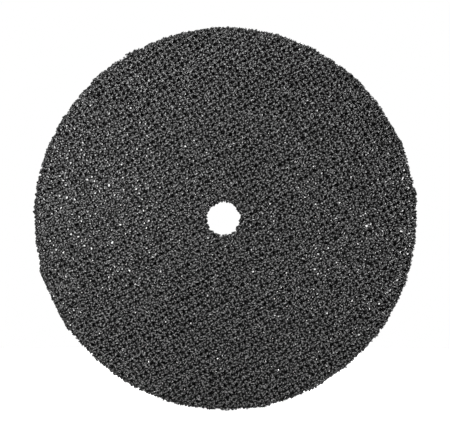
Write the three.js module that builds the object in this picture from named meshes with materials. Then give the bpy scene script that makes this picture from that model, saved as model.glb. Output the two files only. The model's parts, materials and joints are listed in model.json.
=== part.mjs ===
// An abrasive mesh disc for an angle grinder, in millimetres, +Z up.
//
// The disc is a laminate: plies of open woven mesh, each coated with silicon carbide grit, laid on each other
// and bonded by their resin. It stands upright as it does on a spindle, which runs along Y. The origin is the
// middle of the bore, halfway through the thickness, and the front face looks towards -Y.

import * as THREE from "three";

// Driving dimensions.
const discDiameter = 115;
const boreDiameter = 10;
const plyThickness = 1;

// The plies from the front face to the back face.
const plyNames = ["front_ply", "second_ply", "third_ply", "back_ply"];

// Straight steps that make up each round edge.
const roundSteps = 120;

// Worked out from the driving dimensions.
const discRadius = discDiameter / 2;
const boreRadius = boreDiameter / 2;
const frontFaceY = (-plyNames.length * plyThickness) / 2;

// The grit and its resin are a dark neutral grey, dull all over.
function coatedMesh() {
  return new THREE.MeshStandardMaterial({ color: 0x424242, roughness: 0.9, metalness: 0 });
}

// One ply as a flat ring: a rectangle turned about the Y axis, from frontY to frontY + plyThickness.
function plyRing(frontY) {
  const backY = frontY + plyThickness;
  const section = [
    new THREE.Vector2(boreRadius, frontY),
    new THREE.Vector2(discRadius, frontY),
    new THREE.Vector2(discRadius, backY),
    new THREE.Vector2(boreRadius, backY),
    new THREE.Vector2(boreRadius, frontY),
  ];
  return new THREE.LatheGeometry(section, roundSteps);
}

const disc = new THREE.Group();
plyNames.forEach((name, layer) => {
  const ply = new THREE.Mesh(plyRing(frontFaceY + layer * plyThickness), coatedMesh());
  ply.name = name;
  disc.add(ply);
});

export default disc;
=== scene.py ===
"""An abrasive mesh disc for an angle grinder: four plies of grit-coated leno mesh, bonded to each other.

Each ply is woven yarn by yarn. Straight weft yarns lie side by side, and pairs of warp yarns cross them: the
over yarn of a pair passes over each weft yarn and the under yarn below it, and between two weft yarns they
change sides. Every yarn is a lumpy tube of resin, cut off at the rim and at the bore, and set with angular
grains.
"""
import json
import math

import bpy
import numpy as np
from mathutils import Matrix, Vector


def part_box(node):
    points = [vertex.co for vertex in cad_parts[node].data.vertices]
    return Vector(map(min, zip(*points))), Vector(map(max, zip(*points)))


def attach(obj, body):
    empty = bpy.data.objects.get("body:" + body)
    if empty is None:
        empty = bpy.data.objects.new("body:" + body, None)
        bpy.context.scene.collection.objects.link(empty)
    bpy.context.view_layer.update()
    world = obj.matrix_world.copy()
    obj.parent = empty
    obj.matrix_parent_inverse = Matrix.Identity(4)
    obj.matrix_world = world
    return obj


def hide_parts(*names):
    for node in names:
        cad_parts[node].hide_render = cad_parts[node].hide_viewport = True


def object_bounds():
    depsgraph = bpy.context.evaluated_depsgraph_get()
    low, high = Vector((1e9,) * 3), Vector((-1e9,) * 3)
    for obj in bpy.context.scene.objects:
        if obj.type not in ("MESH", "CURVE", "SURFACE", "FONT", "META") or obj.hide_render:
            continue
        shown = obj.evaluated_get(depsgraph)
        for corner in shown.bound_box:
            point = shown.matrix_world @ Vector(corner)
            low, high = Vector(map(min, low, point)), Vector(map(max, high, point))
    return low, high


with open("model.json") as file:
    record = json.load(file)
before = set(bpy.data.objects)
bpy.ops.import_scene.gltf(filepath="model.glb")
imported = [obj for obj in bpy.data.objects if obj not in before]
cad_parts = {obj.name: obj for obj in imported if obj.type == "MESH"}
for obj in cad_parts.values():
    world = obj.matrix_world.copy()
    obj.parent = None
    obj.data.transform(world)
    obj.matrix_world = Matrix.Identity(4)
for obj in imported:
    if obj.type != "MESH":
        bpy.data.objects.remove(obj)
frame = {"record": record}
cad_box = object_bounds()

MM = 0.001

# The disc, from the frame. It stands upright, and its front face looks along -Y.
DISC_LOW, DISC_HIGH = cad_box
RIM_RADIUS = (DISC_HIGH.x - DISC_LOW.x) / 2
MOUNTS = {mount["name"]: mount for mount in frame["record"]["mounts"]}
BORE_RADIUS = MOUNTS["spindle_bore"]["dims"]["r_mm"] * MM
SLOTS = {row["node"]: row["material_slot"] for row in frame["record"]["subparts"]}

# The weave: the distance between pairs of warp yarns and between picks of weft, and which way the warp runs.
PAIR_PITCH = 1.697 * MM
PICK_PITCH = 1.631 * MM
WARP_TILT = math.radians(30.2)
ALONG_WARP = np.array([math.cos(WARP_TILT), math.sin(WARP_TILT)])
ACROSS_WARP = np.array([math.sin(WARP_TILT), -math.cos(WARP_TILT)])

# How the cloth has been pulled out of square, in pitches at the rim: picks that spread and bow, and pairs
# that fan out.
PICK_SPREAD = -0.74
PICK_BOW = 0.35
PAIR_FAN = -0.36

# How far each warp yarn swings to either side of its pair's middle.
WARP_SWING = 0.38 * MM
# Heights of the over yarn from the ply's middle, where it crosses a weft yarn and where it dives behind the
# other yarn of its pair. The under yarn mirrors it.
OVER_WEFT = 0.29 * MM
BEHIND_PARTNER = -0.15 * MM
# How far the weft waves up and down.
WEFT_WAVE = 0.03 * MM

# Half the width and half the thickness of a coated yarn.
WARP_SIZE = np.array([0.20, 0.20]) * MM
WEFT_SIZE = np.array([0.30, 0.20]) * MM
# How lumpy the coat is: the strength of its slow swells along the yarn and of its roughness from point to
# point, and the least and most that a yarn's size is multiplied by.
SWELL = 0.10
ROUGHNESS = 0.20
LUMP_LIMITS = (0.6, 1.5)
# Resin that pools between the plies makes the yarns inside the stack fatter.
BULK = {"outer_mesh": 1.0, "inner_mesh": 1.35}
# The grains of the inner plies are darkened by this factor as painted shade, which stands in for the shade
# deep in the stack. Only this near the cut edges do they keep their full tone.
PAINTED_SHADE_FACTOR = {"outer_mesh": 1.0, "inner_mesh": 0.2}
EDGE_DEPTH = 1.2 * MM

# How far a yarn strays from its place, in pitches, and the steps along it over which it strays one way.
WARP_STRAY = 0.13
WEFT_STRAY = 0.12
STRAY_STEPS = 4

# The cut edges. The longest yarn ends stand proud of the rim and the others stop short of them at random, by
# an amount that changes over a few steps. The rim runs in and out in waves, and the bore is cut a little off
# the middle.
RIM_PROUD = 0.18 * MM
RIM_FRAY = 0.32 * MM
RIM_WAVE = 0.07 * MM
RIM_WAVES = (9, 17, 26, 38, 57)
BORE_FRAY = 0.2 * MM
BORE_SHIFT = -0.65 * MM
FRAY_STEPS = 3

# The grains sit in clusters along each yarn, with dark resin between them. A cluster's length is how far its
# grains scatter along the yarn, and its jitter is where its middle may fall within its share of the yarn. The
# grains of the inner plies hardly show, so there are fewer.
CLUSTER_SPACING = 0.80 * MM
CLUSTER_LENGTH = 0.10 * MM
CLUSTER_JITTER = (0.35, 0.65)
GRAINS_PER_CLUSTER = {"outer_mesh": 6, "inner_mesh": 2}
# A grain's size is the distance from its middle to its corners, and each corner is nearer or further by its
# own factor.
GRAIN_SIZE = 0.19 * MM
GRAIN_SIZE_SPREAD = 0.22
CORNER_FACTORS = (0.7, 1.2)
# Which way round the yarn a grain sits, in half turns from one side over the outward face to the other.
GRAIN_SIDE_MEAN = 0.5
GRAIN_SIDE_SPREAD = 0.17
GRAIN_SIDE_LIMITS = (0.1, 0.9)
# The tones of single grains, from dark to light.
GRAIN_TONE_RANGE = (0.3, 1.0)

# The tubes: sides around a yarn, rings in each pitch, and the fewest rings that make a tube.
SIDES = 5
STEPS_PER_PITCH = 4
FEWEST_RINGS = 4

# The weave is laid out to this many rim radii, and then cut to the rim.
CLOTH_REACH = 1.06


class Ply:
    """One ply's place in the stack, and how its weave lies in the disc's plane."""

    def __init__(self, node, pair_phase, pick_phase, turn, stretch, seed):
        low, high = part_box(node)
        self.node = node
        self.middle = (low.y + high.y) / 2
        self.facing = math.copysign(1, self.middle)
        self.pair_phase = pair_phase
        self.pick_phase = pick_phase
        self.turn = math.radians(turn)
        self.scale = 1 + stretch
        self.bulk = BULK[SLOTS[node]]
        # How far the grains' tones are darkened as painted shade of the stack's depth.
        self.brightness = PAINTED_SHADE_FACTOR[SLOTS[node]]
        self.cluster = GRAINS_PER_CLUSTER[SLOTS[node]]
        self.random = np.random.default_rng(seed)

    def place(self, pair, pick):
        """The X and Z of the point of the weave at these counts of pairs and picks from the middle."""
        across = PAIR_PITCH * pair / RIM_RADIUS
        along = PICK_PITCH * pick / RIM_RADIUS
        pair_shift = self.pair_phase + PAIR_FAN * along * across
        pick_shift = self.pick_phase + PICK_SPREAD * along**2 + PICK_BOW * across**2
        flat_pair = PAIR_PITCH * (pair - pair_shift) * self.scale
        flat_pick = PICK_PITCH * (pick - pick_shift) * self.scale
        x = flat_pick * ALONG_WARP[0] + flat_pair * ACROSS_WARP[0]
        z = flat_pick * ALONG_WARP[1] + flat_pair * ACROSS_WARP[1]
        cos, sin = math.cos(self.turn), math.sin(self.turn)
        return x * cos - z * sin, x * sin + z * cos


def new_piece(name, points, corners, sizes):
    """A mesh object from its points, its faces' corners in turn, and each face's number of corners."""
    mesh = bpy.data.meshes.new(name)
    mesh.vertices.add(len(points))
    mesh.vertices.foreach_set("co", points.ravel())
    mesh.loops.add(len(corners))
    mesh.loops.foreach_set("vertex_index", corners)
    mesh.polygons.add(len(sizes))
    mesh.polygons.foreach_set("loop_start", np.cumsum(sizes) - sizes)
    mesh.update(calc_edges=True)
    piece = bpy.data.objects.new(name, mesh)
    bpy.context.scene.collection.objects.link(piece)
    return piece


def tubes(name, rows):
    """One piece of many closed tubes. Each row holds the points of a tube's rings: steps by sides by 3."""
    quads = []
    caps = []
    count = 0
    for rings in rows:
        steps = len(rings)
        index = count + np.arange(steps * SIDES).reshape(steps, SIDES)
        turned = np.roll(index, -1, axis=1)
        quads.append(np.stack([index[:-1], turned[:-1], turned[1:], index[1:]], axis=-1).reshape(-1, 4))
        caps.append(index[0][::-1])
        caps.append(index[-1])
        count += steps * SIDES
    points = np.concatenate([rings.reshape(-1, 3) for rings in rows])
    quads = np.concatenate(quads)
    corners = np.concatenate([quads.ravel(), np.concatenate(caps)])
    sizes = np.concatenate([np.full(len(quads), 4), np.full(len(caps), SIDES)])
    return new_piece(name, points, corners, sizes)


GRAIN_CORNERS = np.array([[1, 1, 1], [1, -1, -1], [-1, 1, -1], [-1, -1, 1]]) / math.sqrt(3)
GRAIN_FACES = np.array([[0, 1, 2], [0, 2, 3], [0, 3, 1], [1, 3, 2]])


def grit(name, centres, tones, random):
    """One piece of many angular grains, each a tetrahedron of its own size, shape, turn and tone."""
    count = len(centres)
    turn = np.linalg.qr(random.normal(size=(count, 3, 3)))[0]
    turn[:, :, 0] *= np.linalg.det(turn)[:, None]
    size = GRAIN_SIZE * random.lognormal(0, GRAIN_SIZE_SPREAD, size=(count, 1, 1))
    shape = GRAIN_CORNERS * size * random.uniform(*CORNER_FACTORS, size=(count, 4, 1))
    points = (np.einsum("gij,gkj->gki", turn, shape) + centres[:, None]).reshape(-1, 3)
    corners = (GRAIN_FACES + 4 * np.arange(count)[:, None, None]).ravel()
    piece = new_piece(name, points, corners, np.full(4 * count, 3))
    piece.data.shade_flat()
    tone = piece.data.attributes.new("tone", "FLOAT", "POINT")
    tone.data.foreach_set("value", np.repeat(tones, 4))
    return piece


def wander(random, count, reach):
    """Smooth noise of about unit size along a yarn, which forgets itself after reach steps."""
    rough = random.normal(size=count + 4 * reach)
    window = np.hanning(2 * reach + 1)
    window /= math.sqrt((window**2).sum())
    smooth = np.convolve(rough, window, mode="same")
    return smooth[2 * reach : 2 * reach + count]


def rim_wave(angle):
    """How far the cut rim runs out from a true circle at each angle."""
    phases = np.random.default_rng(5).uniform(0, 2 * math.pi, len(RIM_WAVES))
    return RIM_WAVE * sum(np.cos(waves * angle + phase) for waves, phase in zip(RIM_WAVES, phases))


def stretches(inside):
    """The first index and the end of each unbroken run of True values that is long enough for a tube."""
    edges = np.flatnonzero(np.diff(np.concatenate([[0], inside.astype(int), [0]])))
    return [(first, end) for first, end in zip(edges[0::2], edges[1::2]) if end - first >= FEWEST_RINGS]


def at_edge(points):
    """Which points lie at the rim or at the bore, where grains sit all round the yarn and keep their full
    tone, free of the painted shade.
    """
    radius = np.hypot(points[:, 0], points[:, 2])
    return (radius > RIM_RADIUS - EDGE_DEPTH) | (radius < BORE_RADIUS + EDGE_DEPTH)


def coat(ply, path, size, step_length):
    """The rings of a coated yarn along path, and the middles and tones of the grains on it."""
    random = ply.random
    steps = len(path)
    heading = np.gradient(path, axis=0)
    heading /= np.linalg.norm(heading, axis=1)[:, None]
    side = np.cross(heading, [0.0, 1.0, 0.0])
    side /= np.linalg.norm(side, axis=1)[:, None]
    front = np.cross(side, heading)
    angles = np.arange(SIDES) * 2 * math.pi / SIDES
    lump = 1 + SWELL * wander(random, steps, 2)[:, None] + ROUGHNESS * random.normal(size=(steps, SIDES))
    lump = np.clip(lump, *LUMP_LIMITS)
    across = (size[0] * np.cos(angles) * lump)[..., None] * side[:, None]
    deep = (size[1] * np.sin(angles) * lump)[..., None] * front[:, None]
    rings = path[:, None] + across + deep

    # Where along the yarn each grain sits, in steps.
    clusters = int(steps * step_length / CLUSTER_SPACING)
    where = (np.arange(clusters) + random.uniform(*CLUSTER_JITTER, clusters)) * steps / clusters
    where = np.repeat(where, ply.cluster)
    where = np.clip(where + random.normal(0, CLUSTER_LENGTH / step_length, len(where)), 0, steps - 1)
    near = where.astype(int)

    # Which way round the yarn it sits: on the outward face, or anywhere at a cut edge.
    half_turns = random.normal(GRAIN_SIDE_MEAN, GRAIN_SIDE_SPREAD, len(where))
    outward = math.pi * np.clip(half_turns, *GRAIN_SIDE_LIMITS)
    anywhere = random.uniform(0, 2 * math.pi, len(where))
    near_cut_edge = at_edge(path[near])
    around = np.where(near_cut_edge, anywhere, outward)[:, None]
    out = size[0] * np.cos(around) * side[near] + ply.facing * size[1] * np.sin(around) * front[near]
    centres = path[near] + out + (where - near)[:, None] * heading[near] * step_length
    # Painted shade: away from the cut edges, the grains' tones are multiplied by the ply's shade factor,
    # which darkens the inner plies.
    tones = np.where(near_cut_edge, 1, ply.brightness) * random.uniform(*GRAIN_TONE_RANGE, len(where))
    return rings, centres, tones


def yarns(ply, name, paths, size, step_length):
    """A ply's yarns of one kind as one piece and their grains as another, cut at the rim and the bore."""
    random = ply.random
    rows = []
    centres = []
    tones = []
    for x, y, z in paths:
        short = abs(wander(random, len(x), FRAY_STEPS)) * RIM_FRAY
        rim = RIM_RADIUS + RIM_PROUD + rim_wave(np.arctan2(z, x)) - short
        bore = BORE_RADIUS + wander(random, len(x), FRAY_STEPS) * BORE_FRAY
        inside = (np.hypot(x, z) < rim) & (np.hypot(x - BORE_SHIFT, z) > bore)
        path = np.stack([x, y, z], axis=-1)
        for first, end in stretches(inside):
            rings, grains, greys = coat(ply, path[first:end], size, step_length)
            rows.append(rings)
            centres.append(grains)
            tones.append(greys)
    return [
        tubes(f"{ply.node}_{name}_yarns", rows),
        grit(f"{ply.node}_{name}_grit", np.concatenate(centres), np.concatenate(tones), random),
    ]


def weave(ply):
    """All the pieces of a ply."""
    reach = RIM_RADIUS * CLOTH_REACH
    pairs = math.ceil(reach / PAIR_PITCH)
    picks = math.ceil(reach / PICK_PITCH)
    random = ply.random
    pieces = []

    pick = np.arange(-picks * STEPS_PER_PITCH, picks * STEPS_PER_PITCH + 1) / STEPS_PER_PITCH
    rise = (OVER_WEFT + BEHIND_PARTNER) / 2 + (OVER_WEFT - BEHIND_PARTNER) / 2 * np.cos(2 * math.pi * pick)
    for name, hand in (("over_warp", 1), ("under_warp", -1)):
        paths = []
        for pair in range(-pairs, pairs + 1):
            swing = hand * WARP_SWING / PAIR_PITCH * np.cos(math.pi * (pick + pair))
            stray = WARP_STRAY * wander(random, len(pick), STRAY_STEPS)
            x, z = ply.place(pair + swing + stray, pick)
            paths.append((x, ply.middle + ply.facing * hand * rise, z))
        pieces += yarns(ply, name, paths, ply.bulk * WARP_SIZE, PICK_PITCH / STEPS_PER_PITCH)

    pair = np.arange(-pairs * STEPS_PER_PITCH, pairs * STEPS_PER_PITCH + 1) / STEPS_PER_PITCH
    paths = []
    for pick_number in range(-picks, picks + 1):
        stray = WEFT_STRAY * wander(random, len(pair), STRAY_STEPS)
        x, z = ply.place(pair, pick_number + stray)
        height = ply.middle + WEFT_WAVE * wander(random, len(pair), STRAY_STEPS)
        paths.append((x, height, z))
    pieces += yarns(ply, "weft", paths, ply.bulk * WEFT_SIZE, PAIR_PITCH / STEPS_PER_PITCH)
    return pieces


def grey(value):
    """An opaque grey."""
    return (value, value, value, 1)


def grey_ramp(nodes, stops):
    """A colour ramp of greys, from pairs of position and value."""
    ramp = nodes.new("ShaderNodeValToRGB")
    elements = ramp.color_ramp.elements
    for element, (position, value) in zip(elements, (stops[0], stops[-1])):
        element.position = position
        element.color = grey(value)
    for position, value in stops[1:-1]:
        elements.new(position).color = grey(value)
    return ramp


def new_material(name):
    """A material with its nodes, their links and its Principled shader."""
    material = bpy.data.materials.new(name)
    material.use_nodes = True
    tree = material.node_tree
    return material, tree.nodes, tree.links, tree.nodes["Principled BSDF"]


# The resin's dark tone, from pits to dust, and the size and depth of the grit dust in it.
RESIN_TONES = ((0.0, 0.004), (0.8, 0.0096), (1.0, 0.04))
DUST_SIZE = 0.3 * MM
DUST_DEPTH = 0.08 * MM


def resin_material():
    """The dark resin coat of the yarns, with grit dust in it."""
    material, nodes, links, shader = new_material("resin")
    place = nodes.new("ShaderNodeTexCoord")
    dust = nodes.new("ShaderNodeTexVoronoi")
    dust.inputs["Scale"].default_value = 1 / DUST_SIZE
    links.new(place.outputs["Object"], dust.inputs["Vector"])
    ramp = grey_ramp(nodes, RESIN_TONES)
    links.new(dust.outputs["Color"], ramp.inputs["Fac"])
    links.new(ramp.outputs["Color"], shader.inputs["Base Color"])
    shader.inputs["Roughness"].default_value = 0.6
    shader.inputs["Specular IOR Level"].default_value = 0.05
    bump = nodes.new("ShaderNodeBump")
    bump.inputs["Distance"].default_value = DUST_DEPTH
    bump.inputs["Strength"].default_value = 0.8
    links.new(dust.outputs["Distance"], bump.inputs["Height"])
    links.new(bump.outputs["Normal"], shader.inputs["Normal"])
    return material


# The greys of the grains' tones.
GRAIN_GREYS = ((0.0, 0.002), (0.3, 0.05), (0.65, 0.085), (1.0, 0.14))


def grain_material():
    """Crystals of silicon carbide, each of its own grey."""
    material, nodes, links, shader = new_material("silicon_carbide")
    tone = nodes.new("ShaderNodeAttribute")
    tone.attribute_name = "tone"
    ramp = grey_ramp(nodes, GRAIN_GREYS)
    links.new(tone.outputs["Fac"], ramp.inputs["Fac"])
    links.new(ramp.outputs["Color"], shader.inputs["Base Color"])
    shader.inputs["Roughness"].default_value = 0.4
    return material


# How the plies lie on each other: in pitches, degrees and parts of their size. The openings of all four line
# up only here and there, and most often towards the left and right of the rim.
plies = [
    Ply("front_ply", pair_phase=-0.20, pick_phase=-0.13, turn=0.0, stretch=0.0, seed=1),
    Ply("second_ply", pair_phase=0.05, pick_phase=0.10, turn=0.15, stretch=0.0, seed=2),
    Ply("third_ply", pair_phase=0.30, pick_phase=-0.13, turn=0.73, stretch=-0.0075, seed=3),
    Ply("back_ply", pair_phase=0.55, pick_phase=0.10, turn=0.85, stretch=-0.0075, seed=4),
]

resin = resin_material()
crystal = grain_material()
for ply in plies:
    for piece in weave(ply):
        piece.data.materials.append(crystal if piece.name.endswith("grit") else resin)
        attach(piece, "root")
        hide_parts(ply.node)


# The stage: a round pale floor under the rim, a white backdrop and four soft lights. The floor glows a
# little, so that it stays white far from the lights, and the backdrop lights the disc less than it looks.
FLOOR_RADIUS = 0.45
FLOOR_Z = DISC_LOW.z - RIM_PROUD
FLOOR_GREY = 0.66
FLOOR_GLOW = 0.12
BACKDROP_STRENGTH = 1.0
BACKDROP_LIGHT = 0.06

bpy.ops.mesh.primitive_circle_add(
    vertices=96, radius=FLOOR_RADIUS, fill_type="NGON", location=(0, 0, FLOOR_Z)
)
floor = bpy.context.object
floor.name = "floor"
floor_paint, _, _, floor_shader = new_material("floor_paint")
floor_shader.inputs["Base Color"].default_value = grey(FLOOR_GREY)
floor_shader.inputs["Roughness"].default_value = 0.9
floor_shader.inputs["Emission Color"].default_value = grey(1)
floor_shader.inputs["Emission Strength"].default_value = FLOOR_GLOW
floor.data.materials.append(floor_paint)

world = bpy.data.worlds.new("studio")
bpy.context.scene.world = world
world.use_nodes = True
world_nodes = world.node_tree.nodes
world_links = world.node_tree.links
backdrop = world_nodes["Background"]
backdrop.inputs["Color"].default_value = grey(1)
ray = world_nodes.new("ShaderNodeLightPath")
strength = world_nodes.new("ShaderNodeMapRange")
strength.inputs["To Min"].default_value = BACKDROP_LIGHT
strength.inputs["To Max"].default_value = BACKDROP_STRENGTH
world_links.new(ray.outputs["Is Camera Ray"], strength.inputs["Value"])
world_links.new(strength.outputs["Result"], backdrop.inputs["Strength"])


def softbox(name, location, size, power):
    """A square light aimed at the disc's middle."""
    data = bpy.data.lights.new(name, "AREA")
    data.size = size
    data.energy = power
    lamp = bpy.data.objects.new(name, data)
    lamp.location = location
    lamp.rotation_euler = (-Vector(location)).to_track_quat("-Z", "Y").to_euler()
    lamp.visible_camera = False
    bpy.context.scene.collection.objects.link(lamp)


# The key light is close to the disc's upper left, so that the face darkens towards its lower right.
softbox("key", (-0.13, -0.20, 0.19), size=0.16, power=2.8)
softbox("fill", (0.9, -1.2, 1.0), size=0.7, power=7.8)
softbox("overhead", (0.0, 0.2, 1.6), size=1.2, power=18)
softbox("rear", (0.5, 1.2, 0.7), size=0.8, power=42)

# The camera looks straight at the front face through a long lens, aimed a touch to the left of the disc's
# middle and above it. The frame at the front face is a little wider than the disc.
LENS = 250.0
SENSOR_WIDTH = 36.0
FRAME_OVER_DISC = 1.175
AIM_X = -0.09 * MM
AIM_Z = 0.04 * MM
frame_width = 2 * RIM_RADIUS * FRAME_OVER_DISC
camera_data = bpy.data.cameras.new("camera")
camera_data.lens = LENS
camera_data.sensor_width = SENSOR_WIDTH
camera = bpy.data.objects.new("camera", camera_data)
camera.location = (AIM_X, DISC_LOW.y - frame_width * LENS / SENSOR_WIDTH, AIM_Z)
camera.rotation_euler = (math.radians(90), 0, 0)
bpy.context.scene.collection.objects.link(camera)
bpy.context.scene.camera = camera
bpy.context.scene.view_settings.view_transform = "Standard"
